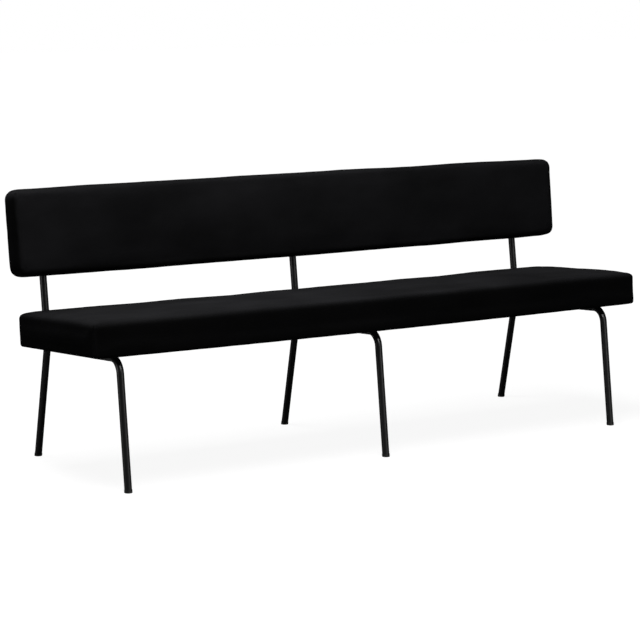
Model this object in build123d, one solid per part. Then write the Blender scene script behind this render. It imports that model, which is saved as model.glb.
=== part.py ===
from build123d import *
import math
import os
from dataclasses import dataclass

# Velvet dining bench with a low back, on three bent steel tube frames.
# Millimetres, +Z up. X runs along the bench and the front faces -Y.
# The origin is on the floor, halfway along and halfway between the front and rear feet.

# Steel frames
frame_names = ("left", "middle", "right")
frame_inset = 102.5
tube_diameter = 22.0
tube_wall = 2.0
front_leg_lean_degrees = 7.12
rear_leg_lean_degrees = 11.97
upright_lean_degrees = 7.89
seat_tilt_degrees = 4.01
front_bend_height = 377.7
rear_bend_height = 364.5
front_bend_radius = 45.0
rear_bend_radius = 200.0
weld_leg = 3.5
weld_gap = 0.15

# Foot glides and upright caps
glide_height = 9.0
glide_rim = 0.8
glide_edge_radius = 1.2
plug_depth = 18.0
plug_fit = 0.15
cap_height = 3.0
cap_edge_radius = 2.0

# Seat
seat_length = 1976.0
seat_depth = 498.0
seat_thickness = 102.0
seat_overhang = 48.0
seat_rear_clearance = 0.26
seat_board_thickness = 18.0
seat_corner_radius = 20.0
seat_face_radius = 18.0
seat_base_radius = 9.0
seat_crown = 6.0
seat_side_bulge = 1.0
seat_front_belly = 1.5
seat_rear_belly = 0.0
seat_hem = 40.0
dust_cloth_thickness = 0.8
dust_cloth_inset = 13.0

# Backrest
backrest_overhang = 17.0
backrest_height = 259.0
backrest_thickness = 83.0
backrest_rise = 199.5
backrest_board_thickness = 12.0
backrest_corner_radius = 30.0
backrest_face_radius = 18.0
backrest_base_radius = 13.0
backrest_crown = 5.0
backrest_side_bulge = 1.5
backrest_lower_belly = 4.3
backrest_upper_belly = 3.0
backrest_hem = 50.0
upright_drop = 66.0
rear_board_thickness = 3.0
rear_board_radius = 14.0
rear_panel_inset = 13.0
rear_panel_hem = 20.0

# Upholstery
velvet_thickness = 1.2
wadding_thickness = 6.0
soft_gap = 0.3
skin_gap = 0.1
contact_gap = 0.2
crown_edge_share = 0.35
crown_power = 4
end_turn_degrees = (90, 66, 44, 22, 0)
station_shares = (0.9, 0.72, 0.5, 0.25)

# Bolts, saddle washers and tee nuts
bolt_diameter = 6.0
bolt_head_diameter = 10.5
bolt_head_height = 3.3
bolt_head_radius = 1.6
bolt_key_width = 4.0
bolt_key_depth = 2.0
bolt_tip_setback = 1.0
bolt_hole_clearance = 0.3
thread_clearance = 0.08
washer_diameter = 11.0
washer_rim = 0.8
washer_fit = 0.1
access_hole_diameter = 12.0
tee_flange_diameter = 19.0
tee_flange_thickness = 1.5
tee_barrel_diameter = 8.0
tee_barrel_length = 9.0
tee_fit = 0.1
seat_front_bolt_setback = 140.0
seat_rear_bolt_setback = 97.0
backrest_lower_bolt_setback = 65.0
backrest_upper_bolt_setback = 116.0

# Staples
staple_width = 10.0
staple_wire = 0.9
staple_leg = 8.0
staple_fit = 0.1
staple_pitch = 95.0
staple_clear = 12.0
seat_staple_inset = 22.0
backrest_staple_inset = 43.0

# One overrun serves every through cut
overrun = 5.0

# Sizes that follow from the ones above
tube_radius = tube_diameter / 2
bore_radius = tube_radius - tube_wall
bolt_radius = bolt_diameter / 2
bolt_hole_radius = bolt_radius + bolt_hole_clearance
stand_off = tube_radius + contact_gap
frame_pitch = seat_length / 2 - frame_inset
frame_places = (-frame_pitch, 0, frame_pitch)
backrest_length = seat_length + 2 * backrest_overhang
upright_reach = backrest_height - upright_drop
seat_bolts = (seat_front_bolt_setback, seat_depth - seat_rear_bolt_setback)
backrest_bolts = (backrest_lower_bolt_setback, backrest_height - backrest_upper_bolt_setback)
seat_base = dust_cloth_thickness + skin_gap
rear_panel_depth = rear_board_thickness + 2 * velvet_thickness + 2 * skin_gap
backrest_base = rear_panel_depth + skin_gap


def in_side_plane(y, z):
    """A point in the middle frame's plane."""
    return Vector(0, y, z)


def upward(lean_degrees):
    """The unit vector of a tube that leans towards +Y by this much from the vertical."""
    lean = math.radians(lean_degrees)
    return Vector(0, math.sin(lean), math.cos(lean))


front_leg_way = upward(front_leg_lean_degrees)
rear_leg_way = upward(-rear_leg_lean_degrees)
upright_way = upward(upright_lean_degrees)
seat_normal = upward(seat_tilt_degrees)
rail_way = Vector(0, seat_normal.Z, -seat_normal.Y)
backrest_normal = Vector(0, -upright_way.Z, upright_way.Y)

# From each foot to where the centre lines of its tube's two straight runs would cross
front_rise = front_leg_way * (front_bend_height / front_leg_way.Z)
rear_rise = rear_leg_way * (rear_bend_height / rear_leg_way.Z)

# The feet stand so far apart that the rear tubes just clear the seat's rear edge
seat_rear_edge = rail_way * (seat_depth - seat_overhang) + seat_normal * stand_off
foot_spacing = front_rise.Y + seat_rear_edge.Y + seat_rear_clearance + tube_radius - rear_rise.Y
front_floor = in_side_plane(-foot_spacing / 2, 0)
rear_floor = in_side_plane(foot_spacing / 2, 0)
front_corner = front_floor + front_rise
rear_corner = rear_floor + rear_rise

# The seat's and the backrest's own frames: local Z = 0 is the plane that the tubes bear on
seat_origin = front_corner - rail_way * seat_overhang + seat_normal * stand_off
seat_place = Location(seat_origin, (-seat_tilt_degrees, 0, 0))
backrest_origin = rear_corner + upright_way * backrest_rise + backrest_normal * stand_off
backrest_place = Location(backrest_origin, (90 - upright_lean_degrees, 0, 0))


def rail_end():
    """Where the rail's centre line meets the rear leg's."""
    gap = rear_corner - front_corner
    across = rail_way.Y * rear_leg_way.Z - rail_way.Z * rear_leg_way.Y
    along = (gap.Y * rear_leg_way.Z - gap.Z * rear_leg_way.Y) / across
    return front_corner + rail_way * along


front_path = FilletPolyline(
    front_floor + front_leg_way * glide_height,
    front_corner,
    rail_end(),
    radius=front_bend_radius,
)
rear_path = FilletPolyline(
    rear_floor + rear_leg_way * glide_height,
    rear_corner,
    rear_corner + upright_way * (backrest_rise + upright_reach),
    radius=rear_bend_radius,
)


def swept(path, radius, bore=0):
    """A round bar along the path, or a tube where a bore radius is given."""
    profile = Circle(radius)
    if bore:
        profile -= Circle(bore)
    return sweep(Plane(origin=path @ 0, z_dir=path % 0) * profile, path=path)


def upright_cylinder(radius, low, high):
    """A cylinder about local Z from one height to another."""
    return Pos(0, 0, low) * Cylinder(radius, high - low, align=(Align.CENTER, Align.CENTER, Align.MIN))


def largest(shape):
    """The biggest solid of a cut."""
    return shape.solids().sort_by(SortBy.VOLUME)[-1]


def tube_bolt_holes(place, distances):
    """Drillings in one tube: the bolt's through the wall that bears, the head's through the far wall."""
    bolt_drill = upright_cylinder(bolt_hole_radius, -stand_off, overrun)
    head_drill = upright_cylinder(access_hole_diameter / 2, -2 * stand_off - overrun, -stand_off)
    return [place * Pos(0, y, 0) * drill for y in distances for drill in (bolt_drill, head_drill)]


def rear_tube():
    """The rear leg and the upright in one bent tube."""
    return swept(rear_path, tube_radius, bore_radius) - tube_bolt_holes(backrest_place, backrest_bolts)


def front_tube():
    """The front leg and the seat rail in one bent tube, coped to the rear tube."""
    bent = swept(front_path, tube_radius, bore_radius)
    coped = largest(bent - swept(rear_path, tube_radius + weld_gap))
    return coped - tube_bolt_holes(seat_place, seat_bolts)


def weld_bead():
    """The fillet weld round the rail's coped end."""
    reach = swept(front_path, tube_radius + weld_leg) & swept(rear_path, tube_radius + weld_leg)
    bead = reach - swept(front_path, tube_radius + weld_gap) - swept(rear_path, tube_radius + weld_gap)
    return largest(bead)


def plug(path_point, way):
    """The stem that holds a plastic end in a tube, running from the tube's end into its bore."""
    stem = upright_cylinder(bore_radius - plug_fit, 0, plug_depth)
    return Plane(origin=path_point, z_dir=way) * stem


def foot_glide(floor_point, way):
    """A plastic glide with a rim, its sole level with the floor."""
    tube_end = floor_point + way * glide_height
    head = Plane(origin=floor_point, z_dir=way) * upright_cylinder(
        tube_radius + glide_rim, -glide_height, glide_height
    )
    below = Pos(floor_point) * Box(
        4 * tube_diameter, 4 * tube_diameter, 4 * glide_height, align=(Align.CENTER, Align.CENTER, Align.MAX)
    )
    head = head - below
    head = fillet(head.faces().sort_by(Axis.Z)[0].edges(), glide_edge_radius)
    return head + plug(tube_end, way)


def upright_cap():
    """A domed plastic plug in the upright's top end."""
    end = rear_path @ 1
    dome = upright_cylinder(tube_radius, 0, cap_height)
    dome = fillet(dome.faces().sort_by(Axis.Z)[-1].edges(), cap_edge_radius)
    return Plane(origin=end, z_dir=upright_way) * dome + plug(end, upright_way * -1)


@dataclass
class Cushion:
    """An upholstered slab in its own frame: length on X, width on Y from zero, thickness on Z."""

    length: float
    width: float
    base: float
    face: float
    corner_radius: float
    face_radius: float
    base_radius: float
    crown: float
    side_bulge: float
    low_belly: float
    high_belly: float


seat_cushion = Cushion(
    length=seat_length,
    width=seat_depth,
    base=seat_base,
    face=seat_thickness,
    corner_radius=seat_corner_radius,
    face_radius=seat_face_radius,
    base_radius=seat_base_radius,
    crown=seat_crown,
    side_bulge=seat_side_bulge,
    low_belly=seat_front_belly,
    high_belly=seat_rear_belly,
)
backrest_cushion = Cushion(
    length=backrest_length,
    width=backrest_height,
    base=backrest_base,
    face=backrest_thickness,
    corner_radius=backrest_corner_radius,
    face_radius=backrest_face_radius,
    base_radius=backrest_base_radius,
    crown=backrest_crown,
    side_bulge=backrest_side_bulge,
    low_belly=backrest_lower_belly,
    high_belly=backrest_upper_belly,
)


def turned_in(reach, half, radius):
    """How far a quarter round at the end has turned in, at this distance from the middle."""
    past = max(0, reach - (half - radius))
    return radius - math.sqrt(max(0, radius**2 - past**2))


def quarter_mid(centre_y, centre_z, radius, side_y, side_z):
    """The middle point of a quarter round about this centre."""
    half_turn = radius * math.sqrt(0.5)
    return (centre_y + side_y * half_turn, centre_z + side_z * half_turn)


def cushion_section(x, low, high, base, face, base_radius, face_radius, crown, bulge):
    """One cross section: flat base, slightly bulged sides, quarter rounds and a crowned face."""
    side_mid = (base + base_radius + face - face_radius) / 2
    outline = (
        (low + base_radius, base),
        None,
        (high - base_radius, base),
        quarter_mid(high - base_radius, base + base_radius, base_radius, 1, -1),
        (high, base + base_radius),
        (high + bulge, side_mid),
        (high, face - face_radius),
        quarter_mid(high - face_radius, face - face_radius, face_radius, 1, 1),
        (high - face_radius, face),
        ((low + high) / 2, face + crown),
        (low + face_radius, face),
        quarter_mid(low + face_radius, face - face_radius, face_radius, -1, 1),
        (low, face - face_radius),
        (low - bulge, side_mid),
        (low, base + base_radius),
        quarter_mid(low + base_radius, base + base_radius, base_radius, -1, -1),
    )
    points = [None if point is None else Vector(x, *point) for point in outline]
    corners = points[0::2]
    mids = points[1::2]
    edges = []
    for start, mid, end in zip(corners, mids, corners[1:] + corners[:1]):
        edges.append(Line(start, end) if mid is None else ThreePointArc(start, mid, end))
    return make_face(edges)


def stations(half, corner_radius):
    """Places along the cushion for its sections, closer together round the ends."""
    ends = [half - corner_radius * (1 - math.sin(math.radians(a))) for a in end_turn_degrees]
    middle = [half * share for share in station_shares]
    outward = sorted(ends + middle)
    return [-x for x in reversed(outward)] + [0] + outward


def cushion_form(cushion, inset=0):
    """The cushion's whole form, drawn in all round by an inset."""
    half = cushion.length / 2 - inset
    corner_radius = cushion.corner_radius - inset
    face_radius = cushion.face_radius - inset
    base_radius = max(cushion.base_radius - inset, velvet_thickness)
    sections = []
    for x in stations(half, corner_radius):
        reach = abs(x)
        fullness = 1 - (reach / half) ** crown_power
        belly = 1 - (reach / half) ** 2
        side = inset + turned_in(reach, half, corner_radius)
        sections.append(
            cushion_section(
                x,
                side - cushion.low_belly * belly,
                cushion.width - side + cushion.high_belly * belly,
                cushion.base + inset + turned_in(reach, half, base_radius),
                cushion.face - inset - turned_in(reach, half, face_radius),
                base_radius,
                face_radius,
                cushion.crown * (crown_edge_share + (1 - crown_edge_share) * fullness),
                cushion.side_bulge,
            )
        )
    return loft(sections, ruled=True)


def flat_panel(cushion, inset, corner_radius, low, high):
    """A rounded rectangular panel, set in from the cushion's outline, between two heights."""
    outline = RectangleRounded(cushion.length - 2 * inset, cushion.width - 2 * inset, corner_radius)
    return extrude(Pos(0, cushion.width / 2, low) * outline, high - low)


def upper_part(cushion, low):
    """A block that holds all of the cushion above one height."""
    return Pos(0, cushion.width / 2, low) * Box(
        cushion.length + 2 * overrun,
        cushion.width + 2 * cushion.corner_radius + 2 * overrun,
        cushion.face + cushion.crown + overrun - low,
        align=(Align.CENTER, Align.CENTER, Align.MIN),
    )


def board_levels(cushion, thickness):
    """The lower and upper faces of the plywood board in a cushion."""
    low = cushion.base + velvet_thickness + soft_gap
    return low, low + thickness


def fixing_spots(distances):
    """Every bolt position of a cushion, on all three frames."""
    return [(x, y) for x in frame_places for y in distances]


def at_spots(distances, shape):
    """Copies of one shape at every bolt position."""
    return [Pos(x, y, 0) * shape for x, y in fixing_spots(distances)]


def board_drilling(low, top):
    """The stepped hole for one tee nut and its bolt."""
    flange_floor = top - tee_flange_thickness - tee_fit
    barrel_floor = top - tee_flange_thickness - tee_barrel_length - tee_fit
    through = upright_cylinder(bolt_hole_radius, low - overrun, top)
    barrel = upright_cylinder(tee_barrel_diameter / 2 + tee_fit, barrel_floor, top)
    flange = upright_cylinder(tee_flange_diameter / 2 + tee_fit, flange_floor, top + overrun)
    return through + barrel + flange


def tee_nut(top):
    """A tee nut, its flange flush with the board's inner face."""
    flange_floor = top - tee_flange_thickness
    flange = upright_cylinder(tee_flange_diameter / 2, flange_floor, top)
    barrel = upright_cylinder(tee_barrel_diameter / 2, flange_floor - tee_barrel_length, top)
    bore = upright_cylinder(bolt_radius + thread_clearance, -overrun, top + overrun)
    return flange + barrel - bore


# The washer's seat in the tube, as a local height common to the seat and the backrest
saddle_radius = bore_radius - washer_fit
saddle_half_chord = math.sqrt(saddle_radius**2 - (washer_diameter / 2) ** 2)
washer_floor = saddle_half_chord - stand_off - washer_rim


def saddle_washer():
    """A plastic washer inside the tube, rounded to the bore and flat under the bolt's head."""
    disc = upright_cylinder(washer_diameter / 2, washer_floor, 0)
    saddle = Pos(0, 0, -stand_off) * Rot(90, 0, 0) * Cylinder(saddle_radius, washer_diameter + 2 * overrun)
    return (disc & saddle) - upright_cylinder(bolt_hole_radius, washer_floor - overrun, 0)


def bolt(tip):
    """A button head bolt with a hexagon socket, from its head up to its tip."""
    head = upright_cylinder(bolt_head_diameter / 2, washer_floor - bolt_head_height, washer_floor)
    head = fillet(head.faces().sort_by(Axis.Z)[0].edges(), bolt_head_radius)
    key = extrude(
        Pos(0, 0, washer_floor - bolt_head_height) * RegularPolygon(bolt_key_width / 2, 6, major_radius=False),
        bolt_key_depth,
    )
    return head + upright_cylinder(bolt_radius, washer_floor, tip) - key


def staple_spots(cushion, inset):
    """Where the staples sit along a row set in from the outline, clear of the tubes: x, y, turn."""
    spots = []
    half = cushion.length / 2 - inset
    count = round(2 * half / staple_pitch)
    for number in range(count + 1):
        x = -half + 2 * half * number / count
        if min(abs(x - frame) for frame in frame_places) > tube_radius + staple_clear:
            spots.append((x, inset, 0))
            spots.append((x, cushion.width - inset, 0))
    run = cushion.width - 2 * inset
    end_count = max(1, round(run / staple_pitch))
    for number in range(1, end_count):
        y = inset + run * number / end_count
        spots.append((-half, y, 90))
        spots.append((half, y, 90))
    return spots


def staples(cushion, inset, seat_height, clearance=0):
    """A row of wire staples driven up from one height, or the slots that they make."""
    wire = staple_wire + 2 * clearance
    reach = staple_wire + staple_leg + clearance
    crown = Pos(0, 0, seat_height - staple_wire / 2) * Box(staple_width + 2 * clearance, wire, wire)
    leg = Pos(0, 0, seat_height - staple_wire) * Box(
        wire, wire, reach, align=(Align.CENTER, Align.CENTER, Align.MIN)
    )
    leg_offset = (staple_width - staple_wire) / 2
    one = crown + Pos(-leg_offset, 0, 0) * leg + Pos(leg_offset, 0, 0) * leg
    return [Pos(x, y, 0) * Rot(0, 0, turn) * one for x, y, turn in staple_spots(cushion, inset)]


def bolt_holes(distances, top):
    """Clearance holes through the thin layers under a board."""
    return at_spots(distances, upright_cylinder(bolt_hole_radius, -overrun, top))


def velvet_cover(cushion, hem, slots):
    """The sewn velvet shell, its hem folded under the board."""
    shell = cushion_form(cushion) - cushion_form(cushion, velvet_thickness)
    opening = flat_panel(
        cushion, hem, cushion.corner_radius, cushion.base - overrun, cushion.base + velvet_thickness + soft_gap
    )
    return shell - opening - slots


def wadding(cushion, board_top):
    """The soft wrap between the foam and the velvet."""
    outer = cushion_form(cushion, velvet_thickness + soft_gap)
    inner = cushion_form(cushion, velvet_thickness + soft_gap + wadding_thickness)
    return (outer - inner) & upper_part(cushion, board_top + soft_gap)


def foam(cushion, board_top):
    """The foam block on the board."""
    inset = velvet_thickness + wadding_thickness + 2 * soft_gap
    return cushion_form(cushion, inset) & upper_part(cushion, board_top + soft_gap)


def plywood_board(cushion, thickness, distances, slots):
    """The plywood board, its edge following the cover, bored for the tee nuts."""
    low, top = board_levels(cushion, thickness)
    blank = cushion_form(cushion, velvet_thickness + soft_gap) - upper_part(cushion, top)
    return blank - at_spots(distances, board_drilling(low, top)) - slots


def dust_cloth(slots):
    """The thin black cloth that closes the seat's underside."""
    cloth = flat_panel(seat_cushion, dust_cloth_inset, seat_corner_radius, 0, dust_cloth_thickness)
    return cloth - bolt_holes(seat_bolts, dust_cloth_thickness + overrun) - slots


def rear_board():
    """The fibreboard that stiffens the backrest's rear panel."""
    low = velvet_thickness + skin_gap
    inset = rear_panel_inset + velvet_thickness + skin_gap
    board = flat_panel(backrest_cushion, inset, rear_board_radius, low, low + rear_board_thickness)
    return board - bolt_holes(backrest_bolts, low + rear_board_thickness + overrun)


def rear_skin():
    """The velvet round the rear panel, its hem turned in over the board's front face."""
    outer_radius = rear_board_radius + velvet_thickness + skin_gap
    outer = flat_panel(backrest_cushion, rear_panel_inset, outer_radius, 0, rear_panel_depth)
    outer = fillet(outer.faces().sort_by(Axis.Z)[0].edges(), velvet_thickness)
    room = flat_panel(
        backrest_cushion,
        rear_panel_inset + velvet_thickness,
        rear_board_radius + skin_gap,
        velvet_thickness,
        rear_panel_depth - velvet_thickness,
    )
    opening = flat_panel(
        backrest_cushion,
        rear_panel_inset + rear_panel_hem,
        rear_board_radius,
        rear_board_thickness,
        rear_panel_depth + overrun,
    )
    return outer - room - opening - bolt_holes(backrest_bolts, rear_panel_depth)


def group(shapes):
    """Separate solids kept together as one sub-part."""
    solids = []
    for shape in shapes:
        solids.extend(shape.solids())
    return Compound(solids)


def cushion_parts(name, cushion, board_thickness, hem, distances, staple_inset, staple_height):
    """The pieces that the seat and the backrest share, in the cushion's own frame."""
    top = board_levels(cushion, board_thickness)[1]
    slots = staples(cushion, staple_inset, staple_height, staple_fit)
    return {
        f"{name}_cover": velvet_cover(cushion, hem, slots),
        f"{name}_wadding": wadding(cushion, top),
        f"{name}_foam": foam(cushion, top),
        f"{name}_board": plywood_board(cushion, board_thickness, distances, slots),
        f"{name}_staples": group(staples(cushion, staple_inset, staple_height)),
        f"{name}_tee_nuts": group(at_spots(distances, tee_nut(top))),
        f"{name}_bolts": group(at_spots(distances, bolt(top - bolt_tip_setback))),
        f"{name}_saddle_washers": group(at_spots(distances, saddle_washer())),
    }


def seat_parts():
    """The upholstered seat and what fastens it, placed on the rails."""
    height = -skin_gap
    parts = cushion_parts(
        "seat", seat_cushion, seat_board_thickness, seat_hem, seat_bolts, seat_staple_inset, height
    )
    slots = staples(seat_cushion, seat_staple_inset, height, staple_fit)
    parts["seat_dust_cloth"] = dust_cloth(slots)
    return {node: seat_place * shape for node, shape in parts.items()}


def backrest_parts():
    """The upholstered backrest and what fastens it, placed against the uprights."""
    height = backrest_base - skin_gap
    parts = cushion_parts(
        "backrest",
        backrest_cushion,
        backrest_board_thickness,
        backrest_hem,
        backrest_bolts,
        backrest_staple_inset,
        height,
    )
    parts["backrest_rear_board"] = rear_board()
    parts["backrest_rear_skin"] = rear_skin()
    return {node: backrest_place * shape for node, shape in parts.items()}


def frame_parts():
    """One steel frame with its plastic ends, in the middle of the bench."""
    return {
        "front_tube": front_tube(),
        "rear_tube": rear_tube(),
        "weld_bead": weld_bead(),
        "front_glide": foot_glide(front_floor, front_leg_way),
        "rear_glide": foot_glide(rear_floor, rear_leg_way),
        "upright_cap": upright_cap(),
    }


os.makedirs("parts", exist_ok=True)
bench = {}
for piece, shape in frame_parts().items():
    for name, x in zip(frame_names, frame_places):
        bench[f"{name}_{piece}"] = Pos(x, 0, 0) * shape
bench.update(seat_parts())
bench.update(backrest_parts())
for node, shape in bench.items():
    export_step(shape, f"parts/{node}.step")
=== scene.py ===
import math

import bpy
import numpy as np
from bpy.props import FloatProperty, FloatVectorProperty, IntProperty, PointerProperty
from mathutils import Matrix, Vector


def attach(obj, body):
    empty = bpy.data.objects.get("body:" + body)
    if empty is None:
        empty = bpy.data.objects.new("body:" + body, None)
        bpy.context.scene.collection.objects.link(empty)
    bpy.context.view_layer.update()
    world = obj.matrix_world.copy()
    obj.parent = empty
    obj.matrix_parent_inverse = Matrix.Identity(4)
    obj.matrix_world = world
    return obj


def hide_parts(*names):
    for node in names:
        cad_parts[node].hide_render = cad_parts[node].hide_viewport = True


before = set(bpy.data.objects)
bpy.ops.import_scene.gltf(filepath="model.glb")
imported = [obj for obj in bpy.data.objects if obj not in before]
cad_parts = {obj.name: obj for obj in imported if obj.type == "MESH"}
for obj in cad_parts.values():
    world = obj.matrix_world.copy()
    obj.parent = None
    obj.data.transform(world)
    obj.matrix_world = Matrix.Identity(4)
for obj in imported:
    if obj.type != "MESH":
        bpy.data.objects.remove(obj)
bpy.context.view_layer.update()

bl_info = {
    "name": "Velvet Dining Bench",
    "version": (1, 0, 0),
    "blender": (4, 5, 0),
    "location": "3D View > Sidebar > Bench",
    "description": "Builds the upholstery, finishes and stage of a velvet dining bench round its frame",
    "category": "Add Mesh",
}

FRAMES = ("left", "middle", "right")
CUSHIONS = ("seat", "backrest")
BODY = "root"

# Where each cushion's face points
SEAT_FACING = (0.0, 0.0, 1.0)
BACKREST_FACING = (0.0, -1.0, 0.0)

# Where the mesh lines of a rounded zone lie, as shares of its width
ROUND_SHARES = np.array([0.0, 0.09, 0.26, 0.47, 0.72, 1.0])

# Share of the crown and of the lip's sag that reaches a cushion's ends
END_SHARE = 0.35

# Powers that round the crown off towards the ends and the base
CROWN_END_POWER, CROWN_BASE_POWER = 4, 3

# Powers that keep a form to the rim of the long sides and of the ends, the odd one with the side's sign
SIDE_POWER, END_POWER = 30, 31

# Share of a half size from which a point is on the cushion's sides
RIM_SHARE = 0.97

# Powers that fade a seam out at the face and the base, and narrow the dents above the staples
SEAM_POWER, PULL_POWER = 8, 3

# How far the small folds wander, in radians
FOLD_SWAY = 3

# Painted shade on the cushions' sides: how level the cover is where it starts, over what it deepens, and how
# it fades at the rounded upright corners, which stay lighter
SIDE_SHADE_START, SIDE_SHADE_FADE, SIDE_SHADE_CORNER = 0.9, 0.5, 1.3

# Shortest and longest of the slow waves, as shares of their span
WAVE_SHARES = (0.6, 1.7)

# Share of the dust cloth's sag that comes and goes with the waves
CLOTH_WAVE_SHARE = 0.35

# What each unevenness adds to the seed
SWAY, DRIFT, RIPPLE, PANEL, CLOTH = range(5)

# Least length to divide by
TINY = 1e-9

# Places of the colour sockets on a Mix node
MIX_FACTOR, MIX_FIRST, MIX_SECOND, MIX_RESULT = 0, 6, 7, 2


def length_property(name, description, default):
    """A size in metres, shown as a distance."""
    return FloatProperty(
        name=name, description=description, default=default, min=0.0, subtype="DISTANCE", unit="LENGTH"
    )


def number_property(name, description, default):
    """A plain number."""
    return FloatProperty(name=name, description=description, default=default, min=0.0)


def angle_property(name, description, default):
    """An angle in radians, shown in degrees."""
    return FloatProperty(name=name, description=description, default=default, subtype="ANGLE")


def colour_property(name, description, default):
    """A linear colour."""
    return FloatVectorProperty(
        name=name, description=description, default=default, min=0.0, max=1.0, size=3, subtype="COLOR"
    )


def place_property(name, description, default):
    """A place in metres."""
    return FloatVectorProperty(
        name=name, description=description, default=default, size=3, subtype="TRANSLATION", unit="LENGTH"
    )


def area_property(name, description, default):
    """The width and the height of a lamp in metres."""
    return FloatVectorProperty(
        name=name, description=description, default=default, min=0.0, size=2, unit="LENGTH"
    )


class CushionSizes:
    """Sizes of both cushions, whose low long side is the seat's front and the backrest's lower side."""

    corner_radius: length_property("Corner radius", "Round of the four upright edges", 0.020)
    face_radius: length_property("Face radius", "Round between the face and the sides", 0.018)
    base_radius: length_property("Base radius", "Round where the cover turns under the board", 0.009)
    crown: length_property("Crown", "How far the face rises in the middle", 0.006)
    low_belly: length_property("Low belly", "How far the low long side sags outwards", 0.0015)
    high_belly: length_property("High belly", "How far the opposite long side swells", 0.0)
    side_bulge: length_property("Side bulge", "How far the long sides round out between their edges", 0.001)
    swell: length_property("Swell", "Most that the filling pushes the cover out", 0.0025)
    lip_sag: length_property("Lip sag", "How far the roll under the low long side hangs", 0.0)
    lip_width: length_property("Lip width", "Width of that roll", 0.034)
    end_flare: length_property("End flare", "How much further out the ends stand at the face", 0.0)
    end_taper: length_property("End taper", "How much the face widens from halfway to its high side", 0.0)


class BenchSeat(CushionSizes, bpy.types.PropertyGroup):
    """Sizes of the seat cushion."""

    lip_sag: length_property("Lip sag", "How far the roll under the front edge hangs", 0.006)
    end_flare: length_property("End flare", "How much further out the ends stand at the face", 0.004)


class BenchBackrest(CushionSizes, bpy.types.PropertyGroup):
    """Sizes of the backrest cushion."""

    corner_radius: length_property("Corner radius", "Round of the four upright edges", 0.030)
    face_radius: length_property("Face radius", "Round between the face and the sides", 0.015)
    base_radius: length_property("Base radius", "Round where the cover turns round the board", 0.013)
    crown: length_property("Crown", "How far the face rises in the middle", 0.0035)
    swell: length_property("Swell", "Most that the filling pushes the cover out", 0.0015)
    low_belly: length_property("Low belly", "How far the lower edge sags between the ends", 0.0043)
    high_belly: length_property("High belly", "How far the upper edge swells", 0.0030)
    side_bulge: length_property("Side bulge", "How far the long sides round out between their edges", 0.0015)
    end_taper: length_property("End taper", "How much the face widens from halfway to its top", 0.003)


class BenchSewing(bpy.types.PropertyGroup):
    """Cover mesh, seams, pulls and the inflation of the cushions."""

    mesh_step: length_property("Mesh step", "Distance between the cover's mesh lines", 0.012)
    seam_depth: length_property("Seam depth", "How deep a sewn corner seam is drawn in", 0.0011)
    seam_width: length_property("Seam width", "Half width of a seam's groove", 0.0022)
    seam_reach: length_property("Seam reach", "How far the corners' shaping goes", 0.06)
    pucker_height: length_property("Pucker height", "Height of the small folds beside a seam", 0.0004)
    pucker_pitch: length_property("Pucker pitch", "Distance between the small folds", 0.017)
    pucker_reach: length_property("Pucker reach", "How far the small folds run from a seam", 0.012)
    pull_depth: length_property("Pull depth", "Depth of the dents above the staples", 0.0007)
    pull_pitch: length_property("Pull pitch", "Distance between the dents", 0.095)
    pull_reach: length_property("Pull reach", "Height over which the dents fade", 0.022)
    free_rise: length_property("Free rise", "Height above the board over which the cover comes free", 0.018)
    drift_height: length_property("Drift height", "Height of the slow unevenness of the stuffing", 0.0010)
    drift_span: length_property("Drift span", "Span of the slow unevenness", 0.22)
    ripple_height: length_property("Ripple height", "Height of the finer unevenness", 0.00025)
    ripple_span: length_property("Ripple span", "Span of the finer unevenness", 0.055)
    pressure: number_property("Pressure", "Pressure of the filling on the cover", 4.0)
    cover_mass: number_property("Cover mass", "Mass of the cover at each point of its mesh", 0.4)
    quality: IntProperty(name="Quality", description="Substeps of the inflation", default=6, min=1)
    frames: IntProperty(name="Frames", description="Steps that the cover is inflated for", default=20, min=2)
    seed: IntProperty(name="Seed", description="Seed of the unevenness", default=7, min=0)


class BenchSheets(bpy.types.PropertyGroup):
    """The rear panel's velvet and the dust cloth."""

    panel_radius: length_property("Panel radius", "Corner radius of the rear panel", 0.0153)
    panel_fold: length_property("Panel fold", "Round where the velvet turns over the panel's edge", 0.0012)
    panel_unevenness: length_property("Panel unevenness", "Depth of the rear velvet's slow dents", 0.0004)
    cloth_radius: length_property("Cloth radius", "Corner radius of the dust cloth", 0.020)
    cloth_held: length_property("Cloth held", "Width that lies tight beside an edge or a rail", 0.04)
    cloth_sag: length_property("Cloth sag", "How far the dust cloth sags between the rails", 0.003)
    cloth_span: length_property("Cloth span", "Span of the dust cloth's slow waves", 0.11)


class BenchVelvet(bpy.types.PropertyGroup):
    """Colour and pile of the velvet."""

    pile: colour_property("Pile", "Colour of the pile seen end on", (0.0007, 0.0007, 0.0007))
    # The brushed pile's faint blue cast is painted sheen, the cool light caught at grazing angles, over the
    # pile's own random brushed tone
    brushed: colour_property("Pile brushed over", "Colour of pile brushed over", (0.0078, 0.0078, 0.0086))
    # Painted shade: how much darker the cushions' sides show, as if less light fell on them, not a change in
    # the pile
    side_shade_depth: number_property("Side shade depth", "How much less brushed a cushion's border looks", 0.68)
    pile_depth: length_property("Pile depth", "Depth of the strokes and the grain in the pile", 0.0012)
    roughness: number_property("Roughness", "Roughness of the pile", 0.85)
    gloss: number_property("Gloss", "Level of the pile's mirror reflection", 0.025)
    sheen: number_property("Sheen", "Strength of the light that the pile catches at its tips", 0.006)
    sheen_roughness: number_property("Sheen roughness", "Spread of that light", 0.35)
    sheen_tint: colour_property("Sheen tint", "Colour of that light", (0.82, 0.86, 1.0))


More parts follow.
